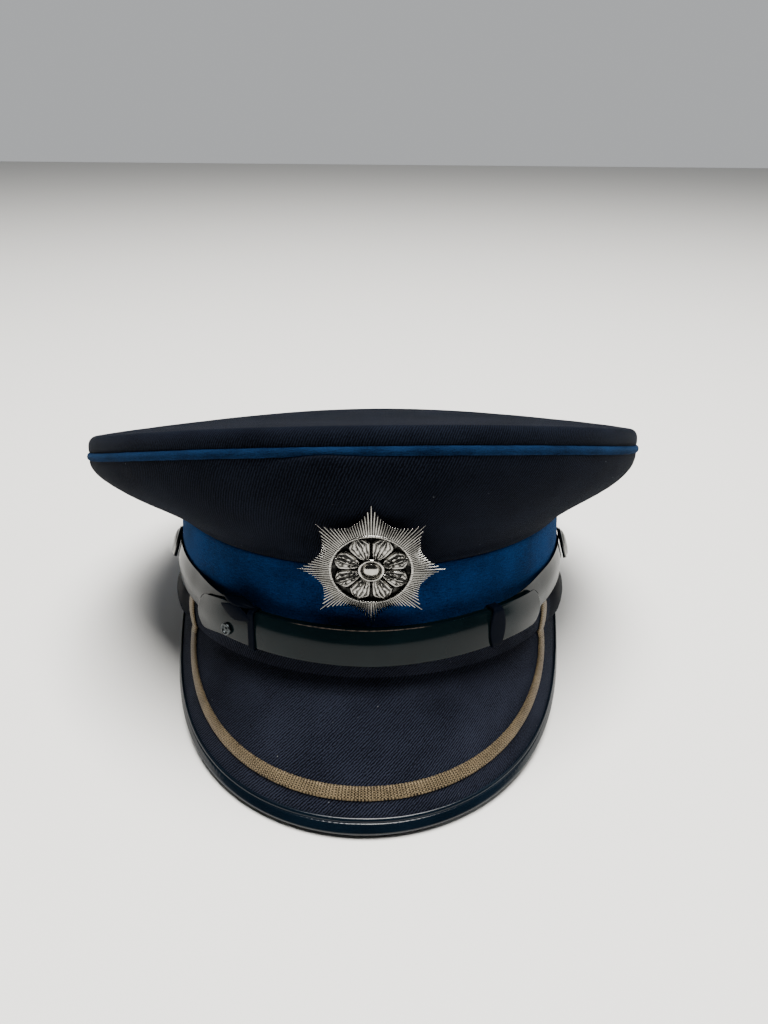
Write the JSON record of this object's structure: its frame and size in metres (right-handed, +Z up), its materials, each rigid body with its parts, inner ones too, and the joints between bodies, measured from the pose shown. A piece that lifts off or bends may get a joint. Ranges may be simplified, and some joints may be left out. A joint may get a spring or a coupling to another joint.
{
  "type": "peaked uniform cap",
  "caption": "Stiff peaked uniform cap with a saucer crown, contrast band and piping, braided peak, patent chin strap and rayed star badge.",
  "frame": {"origin": "bottom centre of the bounding box, on the surface that the cap stands on", "axes": "+Z up, -Y the way the peak points, +X to the right in front view; the cap leans back on the rear edge of its band with the peak's edge on the surface"},
  "size_m": [0.2496, 0.277, 0.1391],
  "materials": {
    "cloth_navy": "fine wool twill, nearly black navy",
    "felt_blue": "short napped blue felt",
    "patent_black": "patent gloss",
    "braid_bronze": "woven metal thread, tarnished",
    "snap_black": "blackened",
    "metal_silver": "bright, pressed and soldered"
  },
  "bodies": {
    "root": {"crown_top": "cloth_navy", "crown_quarters": "cloth_navy", "peak_board": "cloth_navy", "crown_piping": "felt_blue", "cap_band": "felt_blue", "band_edge": "patent_black", "peak_binding": "patent_black", "strap_under": "patent_black", "strap_over": "patent_black", "keeper_left": "patent_black", "keeper_right": "patent_black", "washer_left": "patent_black", "washer_right": "patent_black", "peak_braid": "braid_bronze", "strap_stud": "snap_black", "badge_star": "metal_silver", "button_left": "metal_silver", "button_right": "metal_silver"}
  },
  "joints": []
}
